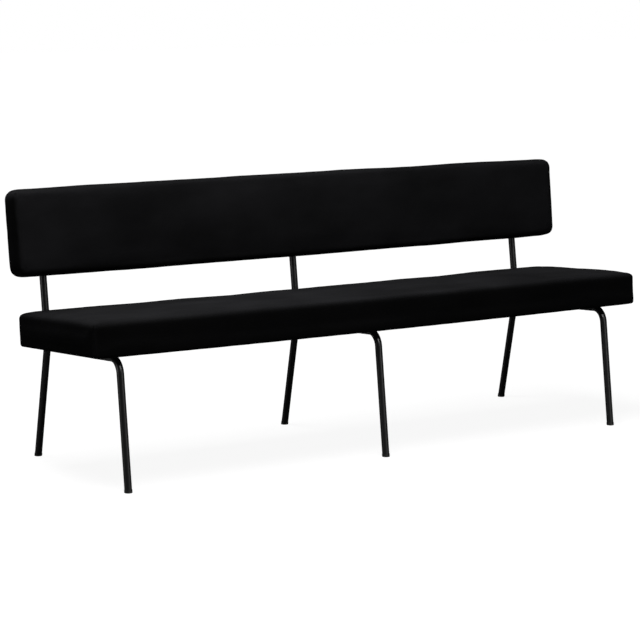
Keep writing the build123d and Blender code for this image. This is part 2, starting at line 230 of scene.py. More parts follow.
class BenchCoating(bpy.types.PropertyGroup):
    """Powder coat of the steel tubes and the plastic ends."""

    coat: colour_property("Coat", "Colour of the powder coat", (0.0035, 0.0035, 0.0038))
    coat_worn: number_property("Coat worn", "How many times as bright the coat's high grain is", 1.6)
    coat_roughness: number_property("Coat roughness", "Roughness of the powder coat", 0.36)
    plastic: colour_property("Plastic", "Colour of the glides, caps and washers", (0.006, 0.006, 0.006))
    plastic_worn: number_property("Plastic worn", "How many times as bright its high grain is", 1.5)
    plastic_roughness: number_property("Plastic roughness", "Roughness of the plastic", 0.5)


class BenchInside(bpy.types.PropertyGroup):
    """Colours of the boards, the dust cloth and the hardware."""

    ply_pale: colour_property("Pale ply", "Colour of the boards' pale grain", (0.62, 0.46, 0.29))
    ply_dark: colour_property("Dark ply", "Colour of the boards' dark grain", (0.42, 0.28, 0.16))
    cloth_dark: colour_property("Dark cloth", "Colour between the cloth's fibres", (0.012, 0.012, 0.013))
    cloth_pale: colour_property("Pale cloth", "Colour of the cloth's fibres", (0.035, 0.035, 0.037))
    black: colour_property("Black", "Colour of the blacked bolts", (0.02, 0.02, 0.021))
    black_worn: colour_property("Worn black", "Colour of their high grain", (0.05, 0.05, 0.05))
    zinc: colour_property("Zinc", "Colour of the tee nuts and staples", (0.55, 0.56, 0.58))
    zinc_worn: colour_property("Worn zinc", "Colour of their high grain", (0.68, 0.68, 0.69))


class BenchStage(bpy.types.PropertyGroup):
    """Camera, floor and lights."""

    camera_place: place_property("Camera place", "Where the camera stands", (-3.8329, -5.8786, 1.4824))
    camera_yaw: angle_property("Camera yaw", "Turn from looking along +Y", 0.5717)
    camera_tilt: angle_property("Camera tilt", "Angle that the camera looks down by", 0.1131)
    lens: number_property("Lens", "Focal length in millimetres", 127.25)
    lens_drop: number_property("Lens drop", "How far the lens is shifted down, in image widths", 0.15)
    sensor: number_property("Sensor", "Sensor width in millimetres", 36.0)
    floor_size: length_property("Floor size", "Side of the floor", 60.0)
    floor_colour: colour_property("Floor colour", "Colour by which it lights the bench", (0.08, 0.08, 0.08))
    seen_floor: colour_property("Seen floor", "Colour of the floor as the camera sees it", (0.8, 0.8, 0.8))
    floor_roughness: number_property("Floor roughness", "Roughness of the floor", 0.9)
    floor_gloss: number_property("Floor gloss", "Level of the floor's mirror reflection", 0.1)
    floor_glow: number_property("Floor glow", "Part of the floor seen as plain background", 0.85)
    glow_strength: number_property("Glow strength", "Brightness of that plain background", 1.18)
    shadow_glow: number_property("Shadow glow", "Its brightness where the bench's shadow falls", 1.09)
    shadow_reach: length_property("Shadow reach", "How far the floor shows the bench's shadow", 2.0)
    shadow_fade: length_property("Shadow fade", "Distance over which the shadow then ends", 1.0)
    ambient: number_property("Ambient", "Strength of the surroundings' light", 0.03)
    reflected: number_property("Reflected", "Brightness of the surroundings in reflections", 0.12)
    aim: place_property("Aim", "Where the lamps point", (0.0, 0.0, 0.5))
    top_place: place_property("Top light place", "Where the overhead light hangs", (-0.9, -0.3, 3.4))
    top_size: area_property("Top light size", "Size of the overhead light", (2.8, 1.9))
    top_power: number_property("Top light power", "Power of the overhead light in watts", 240.0)
    right_place: place_property("Right strip place", "Where the right strip stands", (1.3, -4.0, 1.0))
    left_place: place_property("Left strip place", "Where the left strip stands", (-4.6, 0.6, 1.0))
    strip_size: area_property("Strip size", "Size of each tall strip that only reflections show", (0.5, 1.8))
    strip_power: number_property("Strip power", "Power of each tall strip in watts", 20.0)
    glint_place: place_property("Glint place", "Where the raised front light hangs", (-0.3, -3.6, 3.2))
    glint_size: area_property("Glint size", "Size of the front light that only reflections show", (0.8, 0.5))
    glint_power: number_property("Glint power", "Power of the raised front light in watts", 70.0)


def settings(name):
    """The property group of that name on the scene."""
    return getattr(bpy.context.scene, name)


# Reading and moving meshes


def rows(vectors, attribute):
    """The vectors of a mesh's collection as rows."""
    flat = np.empty(len(vectors) * 3)
    vectors.foreach_get(attribute, flat)
    return flat.reshape(-1, 3)


def points_of(mesh):
    """A mesh's vertices as rows."""
    return rows(mesh.vertices, "co")


def normals_of(mesh):
    """A mesh's vertex normals as rows."""
    return rows(mesh.vertex_normals, "vector")


def node_points(node):
    """The vertices of a CAD node as rows."""
    return points_of(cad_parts[node].data)


def move_points(piece, shift):
    """Moves a new piece's vertices, each by its row."""
    mesh = piece.data
    mesh.vertices.foreach_set("co", (points_of(mesh) + shift).reshape(-1))
    mesh.update()


def push_out(piece, heights):
    """Moves a new piece's vertices along their normals, each by its height."""
    move_points(piece, normals_of(piece.data) * heights[:, None])


def new_piece(name, points, quads):
    """A smooth mesh object from points and quads."""
    mesh = bpy.data.meshes.new(name)
    mesh.from_pydata(points.tolist(), [], quads)
    mesh.shade_smooth()
    piece = bpy.data.objects.new(name, mesh)
    bpy.context.scene.collection.objects.link(piece)
    return piece


def subdivide(piece):
    """One level of subdivision, applied to the mesh."""
    modifier = piece.modifiers.new("smooth", "SUBSURF")
    modifier.levels = modifier.render_levels = 1
    shown = piece.evaluated_get(bpy.context.evaluated_depsgraph_get())
    mesh = bpy.data.meshes.new_from_object(shown)
    old = piece.data
    piece.modifiers.remove(modifier)
    piece.data = mesh
    bpy.data.meshes.remove(old)
    mesh.name = piece.name
    mesh.shade_smooth()


class Slab:
    """A tilted slab that runs along X: its own axes, and the extents of a node along them."""

    def __init__(self, plate, covered, facing):
        points = node_points(plate)
        _, _, axes = np.linalg.svd(points - points.mean(axis=0), full_matrices=False)
        normal = axes[2] * (0.0, 1.0, 1.0) * np.sign(axes[2] @ facing)
        normal /= np.linalg.norm(normal)
        along = np.array([1.0, 0.0, 0.0])
        self.axes = np.array([along, np.cross(normal, along), normal])
        self.low, self.high = self.span(covered)

    def span(self, node):
        """The lowest and highest of a node's points along the slab's axes."""
        local = node_points(node) @ self.axes.T
        return local.min(axis=0), local.max(axis=0)

    def place(self, points):
        """Points in the slab's own frame, moved into the row's frame."""
        return points @ self.axes


# Forms of the cushions and sheets, in their slab's frame


def eased(value):
    """A value's rise from 0 to 1 made smooth, and held level outside them."""
    share = np.clip(value, 0, 1)
    return share * share * (3 - 2 * share)


def as_shares(waves):
    """Waves from -1 to 1 as shares from 0 to 1."""
    return (1 + waves.clip(-1, 1)) / 2


def slow_waves(points, span, seed, count=14):
    """Smooth unevenness round zero, from a few seeded waves in all directions."""
    random = np.random.default_rng(seed)
    total = np.zeros(len(points))
    for _ in range(count):
        way = random.normal(size=3)
        way /= np.linalg.norm(way)
        turn = 2 * math.pi / (span * random.uniform(*WAVE_SHARES))
        total += np.sin(points @ way * turn + random.uniform(0, 2 * math.pi))
    return total / math.sqrt(count)


def stations(low, high, low_zone, high_zone, step):
    """Mesh lines from low to high: close together in the rounded zones and even between them."""
    start = low + low_zone * ROUND_SHARES
    end = high - high_zone * ROUND_SHARES[::-1]
    count = max(2, round((end[0] - start[-1]) / step))
    middle = np.linspace(start[-1], end[0], count + 1)[1:-1]
    return np.concatenate([start, middle, end])


def surface_lattice(xs, ys, zs):
    """The outside of a block of mesh lines: points, their line numbers, and quads that face outwards."""
    counts = (len(xs), len(ys), len(zs))
    number = {}
    quads = []
    for axis in range(3):
        u, v = (axis + 1) % 3, (axis + 2) % 3
        for side in (0, counts[axis] - 1):
            for a, b in np.ndindex(counts[u] - 1, counts[v] - 1):
                ring = []
                for da, db in ((0, 0), (1, 0), (1, 1), (0, 1)):
                    place = [0, 0, 0]
                    place[axis], place[u], place[v] = side, a + da, b + db
                    ring.append(number.setdefault(tuple(place), len(number)))
                quads.append(ring if side else ring[::-1])
    lines = np.array(list(number))
    points = np.stack([xs[lines[:, 0]], ys[lines[:, 1]], zs[lines[:, 2]]], axis=1)
    return points, lines, quads


def turned_round(across, up):
    """A square corner's two offsets, moved onto the round of the same reach."""
    reach = np.maximum(np.abs(across), np.abs(up))
    share = reach / np.maximum(np.hypot(across, up), TINY)
    return across * share, up * share


def round_block(points, low, high, plan, base, face):
    """A sharp block's points drawn in: upright edges to the plan radius, the others to base and face."""
    core = np.clip(points, low + (plan, plan, base), high - (plan, plan, face))
    out = points - core
    out_x, out_y = turned_round(out[:, 0], out[:, 1])
    reach = np.hypot(out_x, out_y)
    flat = np.minimum(reach, plan - np.where(out[:, 2] < 0, base, face))
    turn, rise = turned_round(reach - flat, out[:, 2])
    share = (flat + turn) / np.maximum(reach, TINY)
    return core + np.stack([out_x * share, out_y * share, rise], axis=1)


def cushion_form(slab, sizes, step):
    """A cushion's smooth form: points, their shares of the half sizes, corner lines and quads."""
    low, high = slab.low.copy(), slab.high.copy()
    high[2] -= sizes.crown
    low[1] += sizes.low_belly + sizes.side_bulge
    high[1] -= sizes.high_belly + sizes.side_bulge
    plan = sizes.corner_radius
    xs = stations(low[0], high[0], plan, plan, step)
    ys = stations(low[1], high[1], plan, plan, step)
    zs = stations(low[2], high[2], sizes.base_radius, sizes.face_radius, step)
    sharp, lines, quads = surface_lattice(xs, ys, zs)
    points = round_block(sharp, low, high, plan, sizes.base_radius, sizes.face_radius)
    share = (points - (high + low) / 2) / ((high - low) / 2)
    stuff(points, share, low, sizes)
    last = lines.max(axis=0)
    corner = np.isin(lines[:, 0], (0, last[0])) & np.isin(lines[:, 1], (0, last[1]))
    return points, share, corner, quads


def stuff(points, share, low, sizes):
    """Crowns a cushion's face, swells its long sides, lets its lip sag and flares its ends."""
    rise = (1 + share[:, 2]) / 2
    along = END_SHARE + (1 - END_SHARE) * (1 - share[:, 0] ** CROWN_END_POWER)
    points[:, 2] += sizes.crown * along * (1 - share[:, 1] ** 2) * rise**CROWN_BASE_POWER
    belly = 1 - share[:, 0] ** 2
    points[:, 1] -= sizes.low_belly * belly * (1 - share[:, 1]) / 2
    points[:, 1] += sizes.high_belly * belly * (1 + share[:, 1]) / 2
    rim = np.sign(share[:, 1]) * np.abs(share[:, 1]) ** SIDE_POWER
    points[:, 1] += sizes.side_bulge * rim * (1 - share[:, 2] ** 2)
    lip = eased(1 - (points[:, 1] - low[1]) / sizes.lip_width)
    under = np.clip(1 - (points[:, 2] - low[2]) / sizes.lip_width, 0, 1)
    points[:, 2] -= sizes.lip_sag * (END_SHARE + (1 - END_SHARE) * belly) * lip * under
    flare = sizes.end_flare + sizes.end_taper * share[:, 1]
    points[:, 0] += share[:, 0] ** END_POWER * rise * flare


def sheet_form(low, high, plan, fold, step):
    """A thin rounded panel: points, quads and which points lie on its high face inside the rounded rim."""
    xs = stations(low[0], high[0], plan, plan, step)
    ys = stations(low[1], high[1], plan, plan, step)
    zs = np.array([low[2], low[2] + fold, high[2] - fold, high[2]])
    sharp, lines, quads = surface_lattice(xs, ys, zs)
    points = round_block(sharp, low, high, plan, fold, fold)
    rim = np.abs(sharp - (low + high) / 2) > (high - low) / 2 - plan - step
    inside = (lines[:, 2] == len(zs) - 1) & ~rim[:, 0] & ~rim[:, 1]
    return points, quads, inside


def opened(points, quads, inside):
    """A sheet without the quads whose corners all lie inside, and without their spare points."""
    kept = np.array([quad for quad in quads if not inside[quad].all()])
    used = np.unique(kept)
    number = np.zeros(len(points), dtype=int)
    number[used] = np.arange(len(used))
    return points[used], number[kept].tolist()


def slack_between(points, low, high, rails, held):
    """How freely a cloth hangs: 0 beside its edge and the rails, and 1 well away from them."""
    room = np.minimum(points - low, high - points)[:, :2].min(axis=1)
    for rail_low, rail_high in rails:
        past = np.maximum(rail_low[0] - points[:, 0], points[:, 0] - rail_high[0])
        room = np.minimum(room, past)
    return np.clip((room - held) / held, 0, 1)


# Upholstery of the cushions


def inflated(piece, held, sewing, most):
    """How far each point moves when the cover is blown up against its held points, at most so far."""
    group = piece.vertex_groups.new(name="held")
    for index in np.nonzero(held > 0)[0]:
        group.add([int(index)], float(held[index]), "REPLACE")
    cloth = piece.modifiers.new("filling", "CLOTH")
    cloth.settings.quality = sewing.quality
    cloth.settings.mass = sewing.cover_mass
    cloth.settings.use_pressure = True
    cloth.settings.uniform_pressure_force = sewing.pressure
    cloth.settings.vertex_group_mass = group.name
    cloth.settings.effector_weights.gravity = 0.0
    cloth.point_cache.frame_start = 1
    cloth.point_cache.frame_end = sewing.frames
    scene = bpy.context.scene
    for number in range(1, sewing.frames + 1):
        scene.frame_set(number)
    shown = piece.evaluated_get(bpy.context.evaluated_depsgraph_get())
    shift = points_of(shown.data) - points_of(piece.data)
    piece.modifiers.remove(cloth)
    piece.vertex_groups.remove(group)
    scene.frame_set(1)
    size = np.linalg.norm(shift, axis=1, keepdims=True)
    return shift * (most * np.tanh(size / most) / np.maximum(size, TINY))


def seam_gaps(points, sewing):
    """Each point's distance from the seam of its corner, or a dent's pitch away from the corners."""
    low, high = points.min(axis=0), points.max(axis=0)
    gaps = np.full(len(points), sewing.pull_pitch)
    for x in (low[0], high[0]):
        for y in (low[1], high[1]):
            away_x, away_y = np.abs(points[:, 0] - x), np.abs(points[:, 1] - y)
            near = np.maximum(away_x, away_y) < sewing.seam_reach
            gaps = np.where(near, np.abs(away_x - away_y), gaps)
    return gaps


def sew(piece, points, share, free, sewing):
    """Draws in the corner seams, and adds the folds beside them, the staples' pulls and the unevenness."""
    side = 1 - share[:, 2] ** SEAM_POWER
    gaps = seam_gaps(points, sewing)
    groove = np.exp(-((gaps / sewing.seam_width) ** 2))
    beside = np.exp(-gaps / sewing.pucker_reach) * (1 - groove)
    height = points[:, 2] - points[:, 2].min()
    sway = slow_waves(points, sewing.pull_pitch, sewing.seed + SWAY)
    folds = np.sin(2 * math.pi * height / sewing.pucker_pitch + FOLD_SWAY * sway)
    rim = np.max(np.abs(share[:, :2]), axis=1) > RIM_SHARE
    turn = 2 * math.pi * (points[:, 0] + points[:, 1]) / sewing.pull_pitch
    pulls = as_shares(np.cos(turn + sway)) ** PULL_POWER * np.exp(-height / sewing.pull_reach) * rim
    drift = sewing.drift_height * slow_waves(points, sewing.drift_span, sewing.seed + DRIFT)
    ripple = sewing.ripple_height * slow_waves(points, sewing.ripple_span, sewing.seed + RIPPLE)
    seams = (sewing.pucker_height * folds * beside - sewing.seam_depth * groove) * side
    push_out(piece, seams + (drift + ripple) * free - sewing.pull_depth * pulls)


def paint_side_shade(piece, slab):
    """Stores a mask of painted shade on the cover's sides, square to its face. The mask is left off the
    rounded upright corners, so that they stay lighter.
    """
    along, across, up = np.abs(normals_of(piece.data) @ slab.axes.T).T
    border = np.clip((SIDE_SHADE_START - up) / SIDE_SHADE_FADE, 0, 1)
    border *= np.clip(SIDE_SHADE_CORNER * (1 - 2 * along * across), 0, 1)
    piece.data.attributes.new("border", "FLOAT", "POINT").data.foreach_set("value", border)


def cushion(name, slab, board, sizes, sewing):
    """A crowned, sewn velvet cushion on its board, blown up by its filling above the board."""
    points, share, corner, quads = cushion_form(slab, sizes, sewing.mesh_step)
    piece = new_piece(name, slab.place(points), quads)
    board_top = slab.span(board)[1][2]
    free = eased((points[:, 2] - board_top) / sewing.free_rise)
    held = np.where(corner, 1.0, 1.0 - free)
    move_points(piece, inflated(piece, held, sewing, sizes.swell))
    sew(piece, points, share, free, sewing)
    # Painted shade on the cushion's sides, kept as a mesh attribute
    paint_side_shade(piece, slab)
    subdivide(piece)
    return piece


# Nodes that the materials are made of


def add_node(tree, kind, **values):
    """A shader node with its settings."""
    node = tree.nodes.new(kind)
    for name, value in values.items():
        setattr(node, name, value)
    return node


def set_inputs(node, **values):
    """Sets a node's inputs by name, with an underscore for each space."""
    for label, value in values.items():
        node.inputs[label.replace("_", " ")].default_value = value


def feed(tree, socket, value):
    """Links a value to a socket, or sets the socket to a plain number."""
    if isinstance(value, (int, float)):
        socket.default_value = value
    else:
        tree.links.new(value, socket)


def math_node(tree, operation, first, second, clamp=False):
    """The result of an operation on two values."""
    node = add_node(tree, "ShaderNodeMath", operation=operation, use_clamp=clamp)
    feed(tree, node.inputs[0], first)
    feed(tree, node.inputs[1], second)
    return node.outputs[0]


def times(tree, first, second, clamp=False):
    """One value times another."""
    return math_node(tree, "MULTIPLY", first, second, clamp)


def plus(tree, first, second, clamp=False):
    """One value plus another."""
    return math_node(tree, "ADD", first, second, clamp)


def minus(tree, first, second):
    """One value less another."""
    return math_node(tree, "SUBTRACT", first, second)


def object_place(tree):
    """A surface point's place on its object."""
    return add_node(tree, "ShaderNodeTexCoord").outputs["Object"]


def stretched(tree, place, scale):
    """A place scaled by its own factor along each axis."""
    node = add_node(tree, "ShaderNodeMapping")
    tree.links.new(place, node.inputs["Vector"])
    set_inputs(node, Scale=scale)
    return node.outputs["Vector"]


def noise_node(tree, place, scale, detail, roughness=0.5):
    """A noise texture's value at a place."""
    node = add_node(tree, "ShaderNodeTexNoise")
    feed(tree, node.inputs["Vector"], place)
    feed(tree, node.inputs["Scale"], scale)
    set_inputs(node, Detail=detail, Roughness=roughness)
    return node.outputs["Fac"]


def blend_colours(tree, factor, first, second):
    """A mix of two colours by a factor that varies over the surface."""
    node = add_node(tree, "ShaderNodeMix", data_type="RGBA")
    tree.links.new(factor, node.inputs[MIX_FACTOR])
    node.inputs[MIX_FIRST].default_value = (*first, 1.0)
    node.inputs[MIX_SECOND].default_value = (*second, 1.0)
    return node.outputs[MIX_RESULT]


def blend_shaders(tree, factor, first, second):
    """A mix of two shaders by a factor."""
    node = add_node(tree, "ShaderNodeMixShader")
    for socket, value in zip(node.inputs, (factor, first, second)):
        tree.links.new(value, socket)
    return node.outputs[0]


def bump(tree, shader, height, distance):
    """Bump from a height, on the shader's normal."""
    node = add_node(tree, "ShaderNodeBump")
    set_inputs(node, Distance=distance)
    tree.links.new(height, node.inputs["Height"])
    tree.links.new(node.outputs["Normal"], shader.inputs["Normal"])


def new_group(name, inputs, outputs):
    """A shader node group with named sockets, where its inputs arrive and where its outputs go."""
    group = bpy.data.node_groups.new(name, "ShaderNodeTree")
    for way, labels in (("INPUT", inputs), ("OUTPUT", outputs)):
        for label in labels:
            group.interface.new_socket(name=label, in_out=way, socket_type="NodeSocketFloat")
    return group, add_node(group, "NodeGroupInput").outputs, add_node(group, "NodeGroupOutput").inputs


def place_group(tree, group, **values):
    """A group node in a material, with its own values."""
    node = add_node(tree, "ShaderNodeGroup", node_tree=group)
    set_inputs(node, **values)
    return node


def new_material(name):
    """A material with only a Principled BSDF and its output."""
    material = bpy.data.materials.new(name)
    material.use_nodes = True
    tree = material.node_tree
    return material, tree, tree.nodes["Principled BSDF"]


# Materials


def pile_group():
    """Velvet pile: brushed patches, long stroke marks, painted shade on the cushions' sides and the pile's
    own fine grain.
    """
    name = "velvet_pile"
    if name in bpy.data.node_groups:
        return bpy.data.node_groups[name]
    inputs = ("Patch Scale", "Stroke Scale", "Pile Scale", "Border", "Border Shade")
    stroke_stretch = (0.35, 1.0, 1.0)
    patch_part, stroke_part = 0.6, 0.4
    unbrushed, contrast = 0.35, 3.3
    stroke_height, grain_height = 0.5, 0.12
    least_lit, lit_range = 0.4, 0.5
    group, given, result = new_group(name, inputs, ("Brushed", "Height"))
    place = object_place(group)
    lengthwise = stretched(group, place, stroke_stretch)
    patches = noise_node(group, place, given["Patch Scale"], detail=2.0)
    strokes = noise_node(group, lengthwise, given["Stroke Scale"], detail=3.0)
    grain = noise_node(group, place, given["Pile Scale"], detail=2.0, roughness=0.6)
    mixed = plus(group, times(group, patches, patch_part), times(group, strokes, stroke_part))
    spread = times(group, minus(group, mixed, unbrushed), contrast, clamp=True)
    lit = plus(group, times(group, spread, lit_range), least_lit)
    # Painted shade: the sides of the cushions darken the random brushed patches here, as if less light
    # reached them
    shade = times(group, given["Border"], given["Border Shade"])
    brushed = times(group, lit, minus(group, 1.0, shade))
    height = plus(group, times(group, strokes, stroke_height), times(group, grain, grain_height))
    group.links.new(brushed, result["Brushed"])
    group.links.new(height, result["Height"])
    return group


def grain_group():
    """Fine all-over grain with faint dulling, for powder coat, plastic and bare metal."""
    name = "surface_grain"
    if name in bpy.data.node_groups:
        return bpy.data.node_groups[name]
    inputs = ("Grain Scale", "Cloud Scale", "Cloud Depth", "Level")
    middle_noise = 0.5
    group, given, result = new_group(name, inputs, ("Roughness", "Height"))
    place = object_place(group)
    grain = noise_node(group, place, given["Grain Scale"], detail=2.0)
    cloud = noise_node(group, place, given["Cloud Scale"], detail=4.0, roughness=0.6)
    swing = times(group, minus(group, cloud, middle_noise), given["Cloud Depth"])
    group.links.new(plus(group, swing, given["Level"], clamp=True), result["Roughness"])
    group.links.new(grain, result["Height"])
    return group


def velvet_material():
    """Black velvet: dark pile, brushed patches darkened by painted shade on the cushions' sides, and a cool
    sheen at grazing angles.
    """
    if "velvet" in bpy.data.materials:
        return bpy.data.materials["velvet"]
    look = settings("bench_velvet")
    material, tree, shader = new_material("velvet")
    pile = place_group(
        tree,
        pile_group(),
        Patch_Scale=4.0,
        Stroke_Scale=11.0,
        Pile_Scale=1500.0,
        Border_Shade=look.side_shade_depth,
    )
    # Mask of the painted shade on the cushions' sides
    border = add_node(tree, "ShaderNodeAttribute", attribute_name="border")
    tree.links.new(border.outputs["Fac"], pile.inputs["Border"])
    colour = blend_colours(tree, pile.outputs["Brushed"], look.pile, look.brushed)
    tree.links.new(colour, shader.inputs["Base Color"])
    bump(tree, shader, pile.outputs["Height"], look.pile_depth)
    set_inputs(
        shader,
        Roughness=look.roughness,
        Specular_IOR_Level=look.gloss,
        Sheen_Weight=look.sheen,
        Sheen_Roughness=look.sheen_roughness,
        Sheen_Tint=(*look.sheen_tint, 1.0),
    )
    return material


def brighter(colour, factor):
    """A colour that many times as bright."""
    return tuple(channel * factor for channel in colour)


def grained_material(name, colour, worn, roughness, grain, depth, metallic=0.0):
    """A coated, moulded or bare hard surface with fine grain and faintly uneven gloss."""
    material, tree, shader = new_material(name)
    finish = place_group(
        tree, grain_group(), Grain_Scale=grain, Cloud_Scale=9.0, Cloud_Depth=0.12, Level=roughness
    )
    tint = blend_colours(tree, finish.outputs["Height"], colour, worn)
    tree.links.new(tint, shader.inputs["Base Color"])
    tree.links.new(finish.outputs["Roughness"], shader.inputs["Roughness"])
    set_inputs(shader, Metallic=metallic)
    bump(tree, shader, finish.outputs["Height"], depth)
    return material


def coat_material(name, grain, depth):
    """Satin black powder coat over a surface with that grain."""
    look = settings("bench_coating")
    worn = brighter(look.coat, look.coat_worn)
    return grained_material(name, look.coat, worn, look.coat_roughness, grain, depth)


def plastic_material():
    """Matt black moulded plastic."""
    look = settings("bench_coating")
    worn = brighter(look.plastic, look.plastic_worn)
    return grained_material(
        "moulded_plastic", look.plastic, worn, look.plastic_roughness, grain=1600.0, depth=0.00004
    )


def steel_material(name, colour, worn, roughness, grain):
    """Blacked or zinc-plated steel of the hardware."""
    return grained_material(name, colour, worn, roughness, grain, depth=0.00003, metallic=1.0)


def plywood_material():
    """Pale birch plywood with darker grain along its length."""
    look = settings("bench_inside")
    material, tree, shader = new_material("plywood")
    grain_stretch = (1.2, 14.0, 14.0)
    lengthwise = stretched(tree, object_place(tree), grain_stretch)
    grain = noise_node(tree, lengthwise, scale=6.0, detail=6.0, roughness=0.6)
    tree.links.new(blend_colours(tree, grain, look.ply_pale, look.ply_dark), shader.inputs["Base Color"])
    bump(tree, shader, grain, distance=0.0002)
    set_inputs(shader, Roughness=0.7)
    return material


def cloth_material():
    """Thin black non-woven cloth, with a spun-fibre mottle."""
    look = settings("bench_inside")
    material, tree, shader = new_material("dust_cloth")
    fibres = noise_node(tree, object_place(tree), scale=420.0, detail=5.0, roughness=0.7)
    tree.links.new(blend_colours(tree, fibres, look.cloth_dark, look.cloth_pale), shader.inputs["Base Color"])
    bump(tree, shader, fibres, distance=0.0003)
    set_inputs(shader, Roughness=0.95)
    return material


def floor_material(stage):
    """A floor that shows the bench's shadow, is white further out and clear from below."""
    material, tree, shader = new_material("floor")
    path = add_node(tree, "ShaderNodeLightPath")
    tint = blend_colours(tree, path.outputs["Is Camera Ray"], stage.floor_colour, stage.seen_floor)
    tree.links.new(tint, shader.inputs["Base Color"])
    set_inputs(shader, Roughness=stage.floor_roughness, Specular_IOR_Level=stage.floor_gloss)
    away = add_node(tree, "ShaderNodeVectorMath", operation="LENGTH")
    tree.links.new(object_place(tree), away.inputs[0])
    strength = add_node(tree, "ShaderNodeMapRange", interpolation_type="SMOOTHSTEP")
    tree.links.new(away.outputs["Value"], strength.inputs["Value"])
    set_inputs(
        strength,
        From_Min=stage.shadow_reach,
        From_Max=stage.shadow_reach + stage.shadow_fade,
        To_Min=stage.shadow_glow,
        To_Max=stage.glow_strength,
    )
    glow = add_node(tree, "ShaderNodeEmission")
    tree.links.new(strength.outputs["Result"], glow.inputs["Strength"])
    share = times(tree, path.outputs["Is Camera Ray"], stage.floor_glow)
    seen = blend_shaders(tree, share, shader.outputs[0], glow.outputs[0])
    clear = add_node(tree, "ShaderNodeBsdfTransparent")
    side = add_node(tree, "ShaderNodeNewGeometry")
    surface = blend_shaders(tree, side.outputs["Backfacing"], seen, clear.outputs[0])
    tree.links.new(surface, tree.nodes["Material Output"].inputs["Surface"])
    return material


# Handing the pieces over


def paint(mesh, material):
    """Makes a material a mesh's only one."""
    mesh.materials.clear()
    mesh.materials.append(material)


def dress(node, material):
    """Gives a CAD node its material."""
    paint(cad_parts[node].data, material)


def settle(piece, material, slot, *nodes):
    """Finishes a new piece: its material, its body and the CAD nodes that it stands for, which it hides; the
    slot is not used.
    """
    paint(piece.data, material)
    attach(piece, BODY)
    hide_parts(*nodes)


def upholster(part, plate, facing):
    """Makes a part's cushion, square to the plate at its back, for its cover, wadding and foam."""
    slab = Slab(plate, f"{part}_cover", facing)
    sizes, sewing = settings(f"bench_{part}"), settings("bench_sewing")
    piece = cushion(f"{part}_cushion", slab, f"{part}_board", sizes, sewing)
    settle(piece, velvet_material(), "black_velvet", f"{part}_cover", f"{part}_wadding", f"{part}_foam")
    return piece


class BENCH_OT_stage(bpy.types.Operator):
    """Set up the camera, the pale floor and the soft lights"""

    bl_idname = "bench.stage"
    bl_label = "Stage"

    def execute(self, context):
        stage = settings("bench_stage")
        scene = context.scene
        scene.view_settings.view_transform = "Standard"
        self.camera(scene, stage)
        self.floor(scene, stage)
        self.world(scene, stage)
        self.lamps(scene, stage)
        return {"FINISHED"}

    def camera(self, scene, stage):
        """A long lens that looks down a little from the front left."""
        data = bpy.data.cameras.new("camera")
        data.lens = stage.lens
        data.sensor_width = stage.sensor
        data.sensor_fit = "HORIZONTAL"
        data.shift_y = -stage.lens_drop
        data.clip_end = stage.floor_size * 2
        camera = bpy.data.objects.new("camera", data)
        camera.location = stage.camera_place
        camera.rotation_euler = (math.pi / 2 - stage.camera_tilt, 0.0, -stage.camera_yaw)
        scene.collection.objects.link(camera)
        scene.camera = camera

    def floor(self, scene, stage):
        """A square floor under the bench."""
        half = stage.floor_size / 2
        corners = [(-half, -half, 0), (half, -half, 0), (half, half, 0), (-half, half, 0)]
        mesh = bpy.data.meshes.new("floor")
        mesh.from_pydata(corners, [], [(0, 1, 2, 3)])
        floor = bpy.data.objects.new("floor", mesh)
        scene.collection.objects.link(floor)
        paint(mesh, floor_material(stage))

    def world(self, scene, stage):
        """White to the camera, dim in reflections and dimmer still as light."""
        world = bpy.data.worlds.new("surroundings")
        scene.world = world
        world.use_nodes = True
        tree = world.node_tree
        background = tree.nodes["Background"]
        set_inputs(background, Color=(1.0, 1.0, 1.0, 1.0))
        path = add_node(tree, "ShaderNodeLightPath").outputs
        seen = math_node(tree, "MAXIMUM", path["Is Camera Ray"], path["Is Transmission Ray"])
        reflected = times(tree, path["Is Glossy Ray"], stage.reflected)
        strength = math_node(tree, "MAXIMUM", seen, reflected)
        tree.links.new(math_node(tree, "MAXIMUM", strength, stage.ambient), background.inputs["Strength"])

    def lamps(self, scene, stage):
        """The overhead light, and three that only reflections show."""
        self.lamp(scene, stage, "top_light", stage.top_place, stage.top_size, stage.top_power)
        for name, place, size, power in (
            ("right_strip", stage.right_place, stage.strip_size, stage.strip_power),
            ("left_strip", stage.left_place, stage.strip_size, stage.strip_power),
            ("front_glint", stage.glint_place, stage.glint_size, stage.glint_power),
        ):
            self.lamp(scene, stage, name, place, size, power).visible_diffuse = False

    def lamp(self, scene, stage, name, place, size, power):
        """A soft rectangular light that points at the bench's middle."""
        data = bpy.data.lights.new(name, "AREA")
        data.shape = "RECTANGLE"
        data.size, data.size_y = size
        data.energy = power
        lamp = bpy.data.objects.new(name, data)
        lamp.location = place
        way = Vector(stage.aim) - lamp.location
        lamp.rotation_euler = way.to_track_quat("-Z", "Y").to_euler()
        scene.collection.objects.link(lamp)
        return lamp


class BENCH_OT_seat(bpy.types.Operator):
    """Upholster the seat: a crowned velvet cushion with sewn corners"""

    bl_idname = "bench.seat"
    bl_label = "Seat cushion"

    def execute(self, context):
        piece = upholster("seat", "seat_dust_cloth", SEAT_FACING)
        return {"FINISHED"}


class BENCH_OT_backrest(bpy.types.Operator):
    """Upholster the backrest: a crowned velvet cushion with sewn corners"""

    bl_idname = "bench.backrest"
    bl_label = "Backrest cushion"

    def execute(self, context):
        piece = upholster("backrest", "backrest_rear_skin", BACKREST_FACING)
        return {"FINISHED"}


